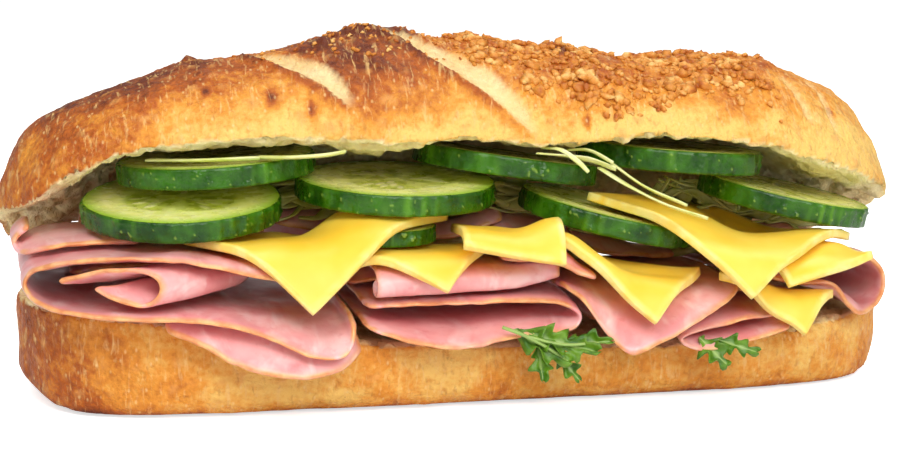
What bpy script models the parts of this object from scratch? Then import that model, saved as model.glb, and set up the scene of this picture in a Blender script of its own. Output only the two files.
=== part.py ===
"""A submarine sandwich: a sliced baguette filled with folded ham, cheese slices and cucumber.

Millimetres are used inside the script and MM turns them into metres when a mesh is made. X runs along
the baguette, -Y is the open front where the filling shows, and Z is up from the flat underside of the
bread. The filling is laid down piece by piece: a height map of the pile tells each new piece how far it
has to rise to clear what is under it, so no two solids meet.
"""
import bmesh
import bpy
import math
import numpy as np
from mathutils.bvhtree import BVHTree

MM = 0.001

# Driving dimensions of the bread.
BREAD_HALF = 103.0
BREAD_HALF_WIDTH = 37.0
BASE_HALF_WIDTH = 29.0
CUT_HEIGHT = 15.0
CROWN_HALF_WIDTH = 36.5
CROWN_TILT = math.radians(22.0)
CROWN_CENTRE_Y = 3.0

# Thickness of the slices and of the air left between two pieces.
HAM_THICK = 1.5
CHEESE_THICK = 2.0
CUCUMBER_THICK = 4.6
AIR = 0.35

# The height map.
CELL = 1.0
MAP_X = np.arange(-114.0, 115.0, CELL)
MAP_Y = np.arange(-62.0, 58.0, CELL)
NOTHING = -60.0

RED_HAM = (0.78, 0.42, 0.42)
CRUST = (0.62, 0.33, 0.10)
CHEESE = (0.93, 0.68, 0.10)
CUCUMBER = (0.30, 0.46, 0.10)


# ---------------------------------------------------------------- scene and meshes

def clear_scene():
    for obj in list(bpy.data.objects):
        bpy.data.objects.remove(obj, do_unlink=True)


def material(name, colour, roughness):
    mat = bpy.data.materials.new(name)
    mat.use_nodes = True
    shader = mat.node_tree.nodes["Principled BSDF"]
    shader.inputs["Base Color"].default_value = (*colour, 1.0)
    shader.inputs["Roughness"].default_value = roughness
    shader.inputs["Metallic"].default_value = 0.0
    mat.diffuse_color = (*colour, 1.0)
    return mat


def add_object(name, points, faces, mat):
    """An object of these points (millimetres) and faces, in the sandwich's collection."""
    mesh = bpy.data.meshes.new(name)
    mesh.from_pydata([tuple(p) for p in np.asarray(points) * MM], [], faces)
    mesh.materials.append(mat)
    mesh.shade_smooth()
    obj = bpy.data.objects.new(name, mesh)
    bpy.data.collections["Sandwich"].objects.link(obj)
    return obj


def grid_faces(rows, columns, around=False):
    """Quads of a grid of points, row after row; around joins the last column to the first."""
    faces = []
    for r in range(rows - 1):
        for c in range(columns if around else columns - 1):
            d = (c + 1) % columns
            faces.append((r * columns + c, r * columns + d, (r + 1) * columns + d, (r + 1) * columns + c))
    return faces


def solidify(obj, thickness):
    """Gives an open sheet its thickness, half on each side."""
    shell = obj.modifiers.new("Thickness", "SOLIDIFY")
    shell.thickness = thickness * MM
    shell.offset = 0.0
    shell.use_even_offset = False
    return obj


def solid_of(obj):
    """Points in millimetres and faces of an object with its modifiers."""
    graph = bpy.context.evaluated_depsgraph_get()
    graph.update()
    evaluated = obj.evaluated_get(graph)
    mesh = evaluated.to_mesh()
    points = np.array([obj.matrix_world @ v.co for v in mesh.vertices]) / MM
    faces = [tuple(p.vertices) for p in mesh.polygons]
    evaluated.to_mesh_clear()
    return points, faces


# ---------------------------------------------------------------- curves

def smoothstep(t):
    t = np.clip(t, 0.0, 1.0)
    return t * t * (3.0 - 2.0 * t)


def curve_through(points, count):
    """count points at even steps along a smooth curve through the given points."""
    p = np.asarray(points, float)
    p = np.vstack([2 * p[0] - p[1], p, 2 * p[-1] - p[-2]])
    fine = []
    for i in range(1, len(p) - 2):
        a, b, c, d = p[i - 1], p[i], p[i + 1], p[i + 2]
        for t in np.linspace(0.0, 1.0, 12, endpoint=False):
            fine.append(0.5 * (2 * b + (c - a) * t + (2 * a - 5 * b + 4 * c - d) * t * t
                               + (3 * b - a - 3 * c + d) * t ** 3))
    fine.append(p[-2])
    fine = np.array(fine)
    run = np.concatenate([[0.0], np.cumsum(np.linalg.norm(np.diff(fine, axis=0), axis=1))])
    at = np.linspace(0.0, run[-1], count)
    return np.stack([np.interp(at, run, fine[:, k]) for k in range(fine.shape[1])], axis=1)


# ---------------------------------------------------------------- the pile's height map

def blurred(field):
    """Mean of the four neighbours."""
    wide = np.pad(field, 1, mode="edge")
    return (wide[2:, 1:-1] + wide[:-2, 1:-1] + wide[1:-1, 2:] + wide[1:-1, :-2]) / 4.0


def widened(field, reach, slope=0.0):
    """Each cell takes the highest value within reach, less slope for each millimetre away."""
    out = field.copy()
    cells = int(math.ceil(reach / CELL))
    wide = np.pad(field, cells, mode="edge")
    for i in range(-cells, cells + 1):
        for j in range(-cells, cells + 1):
            away = math.hypot(i, j) * CELL
            if away <= reach:
                part = wide[cells + i:cells + i + field.shape[0], cells + j:cells + j + field.shape[1]]
                out = np.maximum(out, part - slope * away)
    return out


def sample(field, x, y):
    """The field between its cells."""
    i = np.clip((np.asarray(x) - MAP_X[0]) / CELL, 0, len(MAP_X) - 1.001)
    j = np.clip((np.asarray(y) - MAP_Y[0]) / CELL, 0, len(MAP_Y) - 1.001)
    i0, j0 = i.astype(int), j.astype(int)
    a, b = i - i0, j - j0
    return ((1 - a) * (1 - b) * field[i0, j0] + a * (1 - b) * field[i0 + 1, j0]
            + (1 - a) * b * field[i0, j0 + 1] + a * b * field[i0 + 1, j0 + 1])


def envelope(points, faces, from_above):
    """The highest or the lowest height of a surface over each cell, NaN where there is none."""
    tree = BVHTree.FromPolygons([tuple(p) for p in points], faces)
    start, way = (200.0, -1.0) if from_above else (-200.0, 1.0)
    found = np.full((len(MAP_X), len(MAP_Y)), np.nan)
    low, high = points.min(axis=0), points.max(axis=0)
    for i in np.flatnonzero((MAP_X >= low[0]) & (MAP_X <= high[0])):
        for j in np.flatnonzero((MAP_Y >= low[1]) & (MAP_Y <= high[1])):
            hit = tree.ray_cast((MAP_X[i], MAP_Y[j], start), (0.0, 0.0, way))[0]
            if hit is not None:
                found[i, j] = hit.z
    return found


class Pile:
    """What has been laid down so far, as the height of its top over each cell."""

    def __init__(self):
        self.top = np.full((len(MAP_X), len(MAP_Y)), NOTHING)

    def add(self, obj):
        top = envelope(*solid_of(obj), from_above=True)
        self.top = np.fmax(self.top, top)

    def settle(self, sheets, thickness, side_room=0.6):
        """Lifts sheets, given as (points, faces), together until they clear the pile without a step."""
        support = widened(self.top, side_room + thickness / 2)
        for spread in (60, 10, 10, 6, 6, 6):
            low = np.full_like(self.top, np.nan)
            for points, faces in sheets:
                low = np.fmin(low, envelope(points, faces, from_above=False))
            need = np.nan_to_num(support + AIR + thickness * 0.6 - low, nan=0.0)
            need = np.maximum(need, 0.0)
            if need.max() < 0.02:
                break
            rise = need
            for _ in range(spread):
                rise = np.maximum(need, blurred(rise))
            for points, _ in sheets:
                points[:, 2] += sample(rise, points[:, 0], points[:, 1])

    def draping(self, fall, softness):
        """The surface of a stiff sheet laid on the pile: it bridges hollows and falls away at a slope."""
        drape = widened(self.top, 1.5)
        for _ in range(26):
            drape = widened(drape, 1.5 * CELL, fall)
        cover = drape.copy()
        for _ in range(softness):
            cover = np.maximum(blurred(cover), drape)
        return cover


# ---------------------------------------------------------------- bread

def plan_share(x, half, blunt=3.0):
    """Share of the full width that a loaf keeps at x: rounded at both ends."""
    return max(1e-3, 1.0 - abs(x / half) ** blunt) ** (1.0 / 2.1)


def stations(half, count):
    """Places of the sections along a loaf, closer together towards the ends."""
    turn = np.linspace(-math.pi / 2, math.pi / 2, count)
    even = np.linspace(-1.0, 1.0, count)
    return half * (0.62 * np.sin(turn) + 0.38 * even)


def loft(name, sections, mat):
    """A closed solid through sections of the same number of points, with a cap at each end."""
    rows, columns = len(sections), len(sections[0])
    points = np.vstack(sections)
    faces = grid_faces(rows, columns, around=True)
    faces.append(tuple(range(columns))[::-1])
    faces.append(tuple((rows - 1) * columns + c for c in range(columns)))
    obj = add_object(name, points, faces, mat)
    bm = bmesh.new()
    bm.from_mesh(obj.data)
    bmesh.ops.triangulate(bm, faces=[f for f in bm.faces if len(f.verts) > 4])
    bmesh.ops.recalc_face_normals(bm, faces=bm.faces)
    bm.to_mesh(obj.data)
    bm.free()
    return obj


def cut_height(x):
    """Height of the lower half's cut edge: thick at the left end, thin right of the middle."""
    left = 8.5 * smoothstep((-x - 8.0) / 90.0)
    dip = -2.4 * math.exp(-((x - 42.0) / 30.0) ** 2)
    right = 2.0 * smoothstep((x - 62.0) / 40.0)
    return CUT_HEIGHT + float(left + dip + right)


def heel_section(x, sides, tops):
    """Closed outline of the lower half at x: flat base, bulging sides, gently hollow cut face."""
    share = plan_share(x, BREAD_HALF, 5.0)
    half, top = BREAD_HALF_WIDTH * share, cut_height(x)
    foot = BASE_HALF_WIDTH * plan_share(x, BREAD_HALF, 9.0) * min(1.0, 0.35 + share)
    lift = 7.0 * max(0.0, (abs(x) - 88.0) / (BREAD_HALF - 88.0)) ** 2.0
    outline = []
    for k in range(sides + 1):
        turn = -math.pi / 2 + k / sides * (math.pi / 2 + 0.28)
        bulge = 0.55 * (top - lift)
        y = foot + (half - foot) * max(0.0, math.cos(turn)) ** 0.8
        z = lift + bulge * (1.0 + math.sin(turn))
        if turn > 0:
            z = lift + bulge + (top - lift - bulge) * turn / 0.28
        outline.append((y, z))
    right = outline
    left = [(-y, z) for y, z in reversed(outline)]
    face = []
    for k in range(1, tops):
        u = k / tops
        y = half * (1.0 - 2.0 * u)
        hollow = 1.6 * (1.0 - (2 * u - 1) ** 4) * share
        face.append((y, top - hollow + 0.5 * math.sin(0.21 * x + 5.0 * u)))
    floor = [(foot * (2.0 * k / 4 - 1.0), lift) for k in range(1, 4)]
    return np.array([(x, y, z) for y, z in right + face + left + floor])


def heel(mat):
    sections = [heel_section(x, 6, 8) for x in stations(BREAD_HALF - 0.4, 34)]
    return loft("bread_lower", sections, mat)


# ---------------------------------------------------------------- fillings

def ruffle(front, back_y, flat=0.4, columns=22, rows=6, shoulder=-34.0, flat_from=0.0, lean=0.0,
           shrink=0.0):
    """A ham slice folded from side to side. front is its front rim as (x, y, z, inner z) points.

    From the rim back to the shoulder line the slice climbs to its inner height. Behind flat_from it is
    pressed down towards the bread, to flat times its height at back_y. lean carries it along X, and
    shrink is the share of its height that it loses on the way.
    """
    rim = curve_through(front, columns)
    points = []
    for t in np.linspace(0.0, 1.0, rows) ** 1.6:
        y = rim[:, 1] + (back_y - rim[:, 1]) * t
        climb = np.sin(0.5 * math.pi * np.clip((y - rim[:, 1]) / (shoulder - rim[:, 1]), 0.0, 1.0))
        z = rim[:, 2] + (rim[:, 3] - rim[:, 2]) * climb
        floor = np.array([cut_height(x) + 1.5 for x in rim[:, 0]])
        press = 1.0 - (1.0 - flat) * smoothstep((y - flat_from) / max(1.0, 34.0 - flat_from))
        z = floor + (z - floor) * press
        away = 1.0 - np.exp(-(y - rim[:, 1]) / 12.0)
        x = rim[:, 0] + lean * away
        z -= (z - rim[:, 2].min()) * shrink * away
        points.append(np.stack([x, y, z], axis=1))
    return np.vstack(points), grid_faces(rows, columns)


def roll(start, end, radius, turns, tail_y, tail_drop, columns=20, rows=6, slant=0.0, shut=0.75):
    """A ham slice with its front edge rolled up: a spiral in the Y-Z plane drawn out from start to end.

    start and end are (x, y, z) of the roll's axis, radius its size at the start and shut the share left
    at the end. slant draws the roll's lower lip out along X at the start. The tail runs back to tail_y.
    """
    start, end = np.array(start, float), np.array(end, float)
    points = []
    for t in np.linspace(0.0, 1.0, rows):
        centre = start + (end - start) * t
        size = radius * (1.0 - (1.0 - shut) * t)
        section = []
        for a in np.linspace(0.0, 1.0, 13):
            turn = math.radians(80.0) + a * turns * 2 * math.pi
            r = size * (1.0 - 0.4 * a)
            lip = slant * (1.0 - t) * math.sin(turn)
            section.append((centre[0] + lip, centre[1] + 1.2 * r * math.cos(turn),
                            centre[2] + r * math.sin(turn)))
        first = section[0]
        tail = []
        for a in np.linspace(1.0, 0.0, 5, endpoint=False):
            tail.append((first[0], first[1] + (tail_y - first[1]) * a, first[2] - tail_drop * a * a))
        points.append(curve_through(tail + section, columns))
    return np.vstack(points), grid_faces(rows, columns)


def cheese_slice(tip, right, left, turn, pile, level=None, bulge=0.0, fall=2.0, cells=8, softness=60):
    """A slice of cheese laid on the pile. tip is the (x, z) of its front corner, right and left are the
    lengths of the sides that leave it, and turn is the angle of the right side to X. At the front the
    slice hangs down as a flat flap, far enough forward to clear what sticks out underneath. level sets
    the height behind the bend, which otherwise follows the pile; bulge is how far the slice swells up
    there, a little left of the tip."""
    reach = 20.0
    room = AIR + CHEESE_THICK * 0.55
    support = widened(pile.top, CHEESE_THICK * 0.5 + 0.5) + room
    cover = pile.draping(fall, softness) + room
    line = np.linspace(tip[0] - reach, tip[0] + reach, 17)
    heights = sample(cover, line, np.full(17, -35.0))
    slope = float(np.clip(np.polyfit(line, heights, 1)[0], -0.15, 0.15))
    if level is None:
        level = float(np.median(heights)) - slope * tip[0]
    else:
        slope = 0.0
    bend = -38.0
    for x in line[3:-3]:
        for y in np.arange(-54.0, -37.0, 1.0):
            bend = min(bend, y - (float(sample(support, x, y)) - slope * x - level) / fall)
    bend = max(bend, -47.0)
    stretch = math.hypot(1.0, fall)
    front = bend - (slope * tip[0] + level - tip[1]) * stretch / fall
    turn = math.radians(turn)
    along = np.array([math.cos(turn), math.sin(turn)])
    across = np.array([-math.sin(turn), math.cos(turn)])
    points = []
    for i in range(cells + 1):
        for j in range(cells + 1):
            points.append(np.array((tip[0], front)) + along * right * i / cells + across * left * j / cells)
    points = np.array(points)
    x, flat_y = points[:, 0], points[:, 1]
    y = np.where(flat_y < bend, bend + (flat_y - bend) / stretch, flat_y)
    y = np.where(y > 30.0, 30.0 + (y - 30.0) / stretch, y)
    rest = slope * x + level
    flap = rest - fall * (bend - y)
    share = smoothstep((bend + 4.0 - y) / 4.0)
    swell = bulge * np.exp(-((x - tip[0] + 4.5) / 5.5) ** 2 - ((y - bend - 11.0) / 6.0) ** 2)
    flat = np.maximum(sample(cover, x, y), rest - 0.1 * (y - bend) + swell)
    z = (flat * (1.0 - share) + flap * share).reshape(cells + 1, cells + 1)
    for _ in range(2):
        inner = z[1:-1, 1:-1]
        z[1:-1, 1:-1] = 0.4 * inner + 0.15 * (z[2:, 1:-1] + z[:-2, 1:-1] + z[1:-1, 2:] + z[1:-1, :-2])
        for edge in (z[0], z[-1], z[:, 0], z[:, -1]):
            edge[1:-1] = 0.4 * edge[1:-1] + 0.3 * (edge[2:] + edge[:-2])
    z = z.ravel()
    return np.stack([x, y, z], axis=1), grid_faces(cells + 1, cells + 1)


def cucumber(name, centre, radius, pitch, side_tilt, pile, mat, thickness=CUCUMBER_THICK, sides=24):
    """A cucumber slice. pitch lifts its back, side_tilt lowers its right end; it sinks until it rests."""
    bpy.ops.mesh.primitive_cylinder_add(vertices=sides, radius=radius * MM, depth=thickness * MM)
    obj = bpy.context.object
    obj.name = obj.data.name = name
    for holder in list(obj.users_collection):
        holder.objects.unlink(obj)
    bpy.data.collections["Sandwich"].objects.link(obj)
    obj.data.materials.append(mat)
    obj.rotation_euler = (math.radians(pitch), math.radians(side_tilt), 0.0)
    obj.location = (centre[0] * MM, centre[1] * MM, 0.15)
    bpy.context.view_layer.update()
    low = envelope(*solid_of(obj), from_above=False)
    gap = low - widened(pile.top, 1.0)
    obj.location.z -= (np.nanmin(gap) - AIR) * MM
    bpy.context.view_layer.update()
    pile.add(obj)


def lay_ham(pile, mat, folded, side_room=0.6):
    """Settles one ham slice, or several that are folded into each other, and adds them to the pile."""
    sheets = [(points, faces) for _, points, faces in folded]
    pile.settle(sheets, HAM_THICK, side_room)
    for name, points, faces in folded:
        obj = solidify(add_object(name, points, faces, mat), HAM_THICK)
        bpy.context.view_layer.update()
        pile.add(obj)


def lay_cheese(pile, mat, name, **shape):
    points, faces = cheese_slice(pile=pile, **shape)
    pile.settle([(points, faces)], CHEESE_THICK, side_room=1.3)
    obj = solidify(add_object(name, points, faces, mat), CHEESE_THICK)
    bpy.context.view_layer.update()
    pile.add(obj)


# ---------------------------------------------------------------- the filling, from the bottom up

# Front rims of the folded ham slices, as (x, y, z, inner z).
LEFT_FOLD = [(-45, -41, 29, 33), (-56, -42, 33, 34.5), (-68, -42, 36, 35.5), (-82, -41, 37.5, 36), (-94, -36, 36, 35),
             (-101.5, -29, 31.5, 31), (-98, -35, 26.8, 26), (-88, -41, 25.2, 25), (-76, -44, 24.4, 24.5),
             (-66, -44.5, 23.6, 24), (-57, -45, 22, 23), (-49, -46, 18.5, 21.5), (-42, -47.5, 15.2, 20.5),
             (-36, -48, 14.2, 20), (-32.5, -47, 17, 21), (-32, -44, 22, 23.5)]
LEFT_CURL = [(-88, -40, 31.5, 31), (-84, -42, 29.2, 29.2), (-78, -43, 27.4, 27.6), (-74.4, -43.5, 29.2, 29.2),
             (-73.6, -43.5, 32, 31.6), (-76.5, -43, 34.6, 33.6), (-83, -42, 35.4, 34), (-90, -39, 34, 33.5),
             (-95, -35.5, 32, 32)]
LEFT_FLAP = [(-72, -40, 20.5, 21), (-66, -42.5, 18.5, 20.5), (-58, -45, 14, 20), (-50, -46.5, 11.5, 19.5),
             (-42, -47, 10.8, 19), (-35, -45.5, 12, 18.5), (-30, -42, 15.5, 18)]
MIDDLE_FOLD = [(-29, -40, 24.5, 25), (-18, -41, 24.8, 25.5), (-4, -42, 25, 25.5), (9, -42.5, 25, 25.5),
               (17, -43, 23.5, 25), (19.5, -43.5, 20.8, 22.5), (16, -44.5, 17.8, 20.5), (9, -46, 18.5, 20.5),
               (1, -47, 17.5, 20), (-8, -47.5, 15.9, 19.5), (-16, -47, 16.8, 19.5), (-24, -46, 19, 20.5),
               (-29.5, -43, 21, 21.5)]
MIDDLE_TIP = [(2, -38, 30, 30.5), (7, -40.5, 30, 30.5), (12, -43, 30.4, 30.5), (17, -44.5, 30.4, 30),
              (22, -45.5, 30, 29)]
RIGHT_FOLD = [(66, -42, 19.5, 20), (58, -43, 19, 20), (50, -44, 17.8, 19.5), (43.5, -44.5, 16.6, 19),
              (41.2, -44.5, 14.9, 17.5), (45, -45.5, 13, 16), (52, -46, 13.2, 16), (60, -45, 14.8, 16.5),
              (68, -44, 17, 18)]
RIGHT_TONGUE = [(15, -40, 28, 27), (18.5, -43, 24, 27), (22.5, -46, 18.5, 27), (28.5, -49.5, 12.8, 26.5),
                (34, -49, 14.8, 26.5), (40, -48, 17, 26.5), (47, -46, 20.5, 26), (54, -43, 24, 26),
                (57, -39, 26, 26)]
RIGHT_CURL = [(60, -39, 25, 24.5), (70, -39, 24.3, 24), (80, -38, 20.3, 22), (88.5, -34, 16.8, 20),
              (95, -29, 18.5, 20.5), (97.5, -26, 22.8, 23), (95.5, -27, 27, 26), (88, -30, 29.5, 27),
              (78, -34, 28.3, 27), (66, -37, 27.4, 27)]
LEFT_END = [(-76, -26, 38.4, 38.8), (-85, -26, 38.6, 39), (-93, -25, 37.8, 38.6), (-98.5, -22, 36.5, 37.6),
            (-102, -17, 35.5, 36), (-103, -13, 37.8, 38.4), (-99.5, -15, 40.8, 41)]

# Slices folded up deeper inside the filling, which show again at the back.
LEFT_CORE = [(-91, -10, 29, 29), (-82, -10, 30.5, 30.5), (-73, -10, 30.5, 30.5), (-62, -10, 29.5, 29.5),
             (-52, -10, 28.5, 28.5)]
MIDDLE_CORE = [(-30, -24, 26, 26), (-22, -26, 28.5, 28.5), (-12, -27, 28.8, 28.8), (-4, -27, 27.3, 27.3),
               (4, -27, 27.5, 27.5), (11, -26, 27, 27)]
RIGHT_CORE = [(27, -24, 16, 16), (32, -27, 20, 20), (39, -28, 23, 23), (46, -27, 21, 21), (53, -27, 22, 22),
              (60, -27, 22, 22), (66, -25, 19, 19)]


def lay_all_ham(pile, mat, cheese):
    lay_ham(pile, mat, [("ham_left_flap", *ruffle(LEFT_FLAP, 10.0, columns=22, rows=8))])
    lay_ham(pile, mat, [("ham_right_fold", *ruffle(RIGHT_FOLD, 33.0, columns=20))])
    lay_ham(pile, mat, [("ham_left_fold", *ruffle(LEFT_FOLD, 34.0, columns=38)),
                        ("ham_left_curl", *ruffle(LEFT_CURL, -14.0, columns=20, rows=5, lean=26.0, shrink=0.5)),
                        ("ham_left_core", *ruffle(LEFT_CORE, 33.0, columns=9, rows=5))])
    lay_ham(pile, mat, [("ham_middle_fold", *ruffle(MIDDLE_FOLD, 34.0, columns=24))])
    lay_ham(pile, mat, [("ham_middle_core", *ruffle(MIDDLE_CORE, 34.0, columns=16, rows=5))])
    lay_ham(pile, mat, [("ham_right_core", *ruffle(RIGHT_CORE, 33.0, columns=14, rows=5))])
    lay_ham(pile, mat, [("ham_right_tongue", *ruffle(RIGHT_TONGUE, 33.0, columns=18))])
    lay_cheese(pile, cheese, "cheese_right_low", tip=(69.5, 15.0), right=18.0, left=22.0, turn=55.0, cells=6,
               level=23.5)
    lay_ham(pile, mat, [("ham_right_curl", *ruffle(RIGHT_CURL, 28.0, columns=24))], side_room=1.0)
    lay_ham(pile, mat, [("ham_middle_roll", *roll((-27, -40, 28.8), (15, -38, 29.0), 3.7, 1.0, 33.0, 9.0))])
    lay_ham(pile, mat, [("ham_middle_tip", *ruffle(MIDDLE_TIP, 12.0, columns=12, rows=6))])
    lay_ham(pile, mat, [("ham_left_end", *ruffle(LEFT_END, 6.0, columns=14, rows=5, shoulder=-10.0))])


def lay_all_cheese(pile, cheese, green):
    lay_cheese(pile, cheese, "cheese_right_small", tip=(33.5, 20.5), right=26.0, left=27.0, turn=54.0, cells=7)
    lay_cheese(pile, cheese, "cheese_middle_small", tip=(-12.0, 28.5), right=24.0, left=28.0, turn=55.0, cells=6)
    lay_cheese(pile, cheese, "cheese_right_end", tip=(66.0, 26.5), right=22.0, left=27.0, turn=16.0, cells=7,
               level=31.0)
    cucumber("cucumber_small_middle", (-21.0, -25.5), 10.5, 0.0, 0.0, pile, green, thickness=3.4)
    lay_cheese(pile, cheese, "cheese_middle_high", tip=(13.5, 33.5), right=30.0, left=22.5, turn=84.0, cells=7)
    lay_cheese(pile, cheese, "cheese_left", tip=(-41.5, 25.0), right=46.0, left=38.0, turn=42.0, level=37.5,
               bulge=3.0, cells=9)


# Folded ham behind the cheese, which the cucumber leans on.
BACK_LEFT = [(-88, -4, 38, 38), (-78, -6, 38, 39.5), (-68, -5, 37, 37.5), (-60, -3, 36.5, 37.5), (-52, -4, 36, 39),
             (-46, -5, 36, 36.5)]
BACK_MIDDLE = [(-46, -2, 36.5, 38), (-38, -4, 35.5, 40.5), (-29, -6, 34, 39), (-21, -6, 34, 37), (-13, -7, 34, 40),
               (-5, -8, 33.5, 37), (3, -8, 33.5, 35.5), (10, -7, 33, 35)]
BACK_RIGHT = [(7, -7, 34, 37), (14, -8, 34, 38.5), (22, -9, 33, 36), (30, -9, 30, 33.5), (38, -9, 28, 31),
              (46, -9, 27.5, 28.5), (52, -8, 27.5, 28.5)]
BACK_END = [(50, -7, 29.5, 31), (58, -8, 29.5, 35), (66, -7, 31, 35), (74, -5, 31.5, 33), (82, -3, 31.5, 33),
            (89, 0, 31, 31)]


def lay_back_ham(pile, mat):
    shape = {"rows": 6, "flat": 0.3, "flat_from": 2.0, "shoulder": -1.0}
    lay_ham(pile, mat, [("ham_back_left", *ruffle(BACK_LEFT, 31.0, columns=13, **shape))])
    lay_ham(pile, mat, [("ham_back_right", *ruffle(BACK_RIGHT, 32.0, columns=14, **shape))])
    lay_ham(pile, mat, [("ham_back_middle", *ruffle(BACK_MIDDLE, 32.0, columns=16, **shape))])
    lay_ham(pile, mat, [("ham_back_end", *ruffle(BACK_END, 27.0, columns=12, **shape))])


def lay_cucumbers_low(pile, mat):
    cucumber("cucumber_left", (-66.0, -15.5), 22.5, 7.0, -1.0, pile, mat)
    cucumber("cucumber_middle", (-17.5, -15.5), 23.0, 3.0, 2.0, pile, mat)
    cucumber("cucumber_right", (32.0, -17.0), 21.0, 2.0, 13.0, pile, mat)


def lay_cucumbers_high(pile, mat):
    cucumber("cucumber_right_end", (76.0, -14.0), 20.5, 2.0, 12.0, pile, mat)
    cucumber("cucumber_top_left", (-57.5, -9.5), 22.5, 0.0, -3.0, pile, mat)
    cucumber("cucumber_top_middle", (9.5, -9.0), 21.5, -3.0, 9.0, pile, mat)
    cucumber("cucumber_top_right", (49.0, -10.0), 22.0, -2.0, 5.0, pile, mat, thickness=5.0)


# ---------------------------------------------------------------- the upper half of the bread

CROWN_RIM = [(-108, 45), (-99, 50), (-92, 54.5), (-80, 58.5), (-65, 60), (-48, 60.5), (-30, 59.5), (-8, 57.5),
             (26, 57), (50, 56.5), (69, 54.5), (91, 51), (108, 46)]
CROWN_TOP = [(-108, 47), (-105, 53), (-98, 61), (-91, 66), (-82, 69.5), (-64, 75), (-48, 76.5), (-36, 78.5),
             (-22, 81.5), (-8, 80), (11, 77.5), (26, 77), (40, 73.5), (51, 74.5), (70, 73.5), (82, 70.5),
             (95, 64), (103, 57), (108, 50)]


def table(points, x):
    return float(np.interp(x, [p[0] for p in points], [p[1] for p in points]))


def crown_section(x, half, outer, inner):
    """Closed outline of the upper half at x: a domed crust over a cut face that tilts down to the back.

    Each point also carries the share by which it gives way to the filling: the whole of the cut face
    and its rim, less and less further up the crust."""
    share = plan_share(x, half, 6.0)
    a = CROWN_HALF_WIDTH * share
    sin, cos = math.sin(CROWN_TILT), math.cos(CROWN_TILT)
    rim, top = table(CROWN_RIM, x), table(CROWN_TOP, x)
    middle = rim - math.tan(CROWN_TILT) * (CROWN_CENTRE_Y + 30.0)
    rise = max(2.0, top - middle)
    height = math.sqrt(max(rise ** 2 - (a * sin) ** 2, 4.0)) / cos
    height = min(height, 0.2 + 38.0 * share)
    lift = 7.0 * (1.0 - share) ** 2
    outline = []
    for k in range(outer + 1):
        turn = math.pi * k / outer
        u = -a * math.copysign(abs(math.cos(turn)) ** 0.92, math.cos(turn))
        w = height * abs(math.sin(turn)) ** 0.92
        outline.append((u, w + lift, 1.0 - smoothstep(w / 16.0)))
    for k in range(1, inner):
        u = a * (1.0 - 2.0 * k / inner)
        outline.append((u, lift + 1.0 * share * (1.0 - (2.0 * k / inner - 1.0) ** 4), 1.0))
    return np.array([(x, CROWN_CENTRE_Y + u * cos + w * sin, middle - u * sin + w * cos, give)
                     for u, w, give in outline])


def crown(pile, mat, outer=14, inner=10, count=34, half=106.8):
    """The upper half, its soft cut face pressed up wherever the filling stands above it."""
    sections = np.array([crown_section(x, half, outer, inner) for x in stations(half - 0.4, count)])
    columns = sections.shape[1]
    points = sections[:, :, :3].reshape(-1, 3)
    give = sections[:, :, 3].reshape(-1)
    faces = grid_faces(count, columns, around=True)
    support = widened(pile.top, 1.6) + 3.0 * AIR
    for _ in range(10):
        low = envelope(points, faces, from_above=False)
        need = np.maximum(np.nan_to_num(support - low, nan=0.0), 0.0)
        if need.max() < 0.02:
            break
        rise = widened(need, 5.5)
        for _ in range(3):
            rise = blurred(rise)
        points[:, 2] += give * sample(rise, points[:, 0], points[:, 1])
    return loft("bread_upper", points.reshape(count, columns, 3), mat)


def centre_objects(objects):
    """Moves everything sideways together until the sandwich's box is centred over the origin."""
    solids = [solid_of(obj)[0] for obj in objects]
    low = np.min([points.min(axis=0) for points in solids], axis=0)
    high = np.max([points.max(axis=0) for points in solids], axis=0)
    middle = (low + high) / 2.0
    for obj in objects:
        obj.location.x -= middle[0] * MM
        obj.location.y -= middle[1] * MM


def main():
    clear_scene()
    sandwich = bpy.data.collections.new("Sandwich")
    bpy.context.scene.collection.children.link(sandwich)
    crust = material("bread", CRUST, 0.6)
    ham = material("ham", RED_HAM, 0.4)
    cheese = material("cheese", CHEESE, 0.4)
    green = material("cucumber", CUCUMBER, 0.35)
    pile = Pile()
    pile.add(heel(crust))
    lay_all_ham(pile, ham, cheese)
    lay_all_cheese(pile, cheese, green)
    lay_back_ham(pile, ham)
    lay_cucumbers_low(pile, green)
    lay_cheese(pile, cheese, "cheese_top", tip=(55.8, 25.0), right=44.0, left=45.0, turn=43.0)
    lay_cucumbers_high(pile, green)
    crown(pile, crust)
    centre_objects(list(sandwich.objects))


main()
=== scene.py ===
"""The looks of a submarine sandwich: crusty bread, folded ham, sliced cheese, cucumber, onion and herbs."""
import bmesh
import bpy
import math
import numpy as np
from mathutils import Matrix, Vector, noise
from mathutils.bvhtree import BVHTree
from mathutils.kdtree import KDTree


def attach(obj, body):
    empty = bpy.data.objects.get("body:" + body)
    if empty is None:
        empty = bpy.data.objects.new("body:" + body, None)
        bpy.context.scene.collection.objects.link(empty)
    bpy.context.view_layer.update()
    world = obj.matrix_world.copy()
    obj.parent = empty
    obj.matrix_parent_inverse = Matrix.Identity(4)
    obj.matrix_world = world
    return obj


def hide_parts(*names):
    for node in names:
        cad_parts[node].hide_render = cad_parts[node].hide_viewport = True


MM = 0.001
HAM_THICK = 1.5
CHEESE_THICK = 2.0
UP = (0.0, 0.0, 1.0)
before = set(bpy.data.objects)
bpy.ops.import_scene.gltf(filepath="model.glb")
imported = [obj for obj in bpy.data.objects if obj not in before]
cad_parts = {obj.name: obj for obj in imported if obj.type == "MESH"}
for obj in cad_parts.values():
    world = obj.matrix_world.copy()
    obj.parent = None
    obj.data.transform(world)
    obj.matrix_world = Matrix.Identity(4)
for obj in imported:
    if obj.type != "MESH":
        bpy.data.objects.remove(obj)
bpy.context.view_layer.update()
rng = np.random.default_rng(7)


# ---------------------------------------------------------------- meshes

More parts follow.
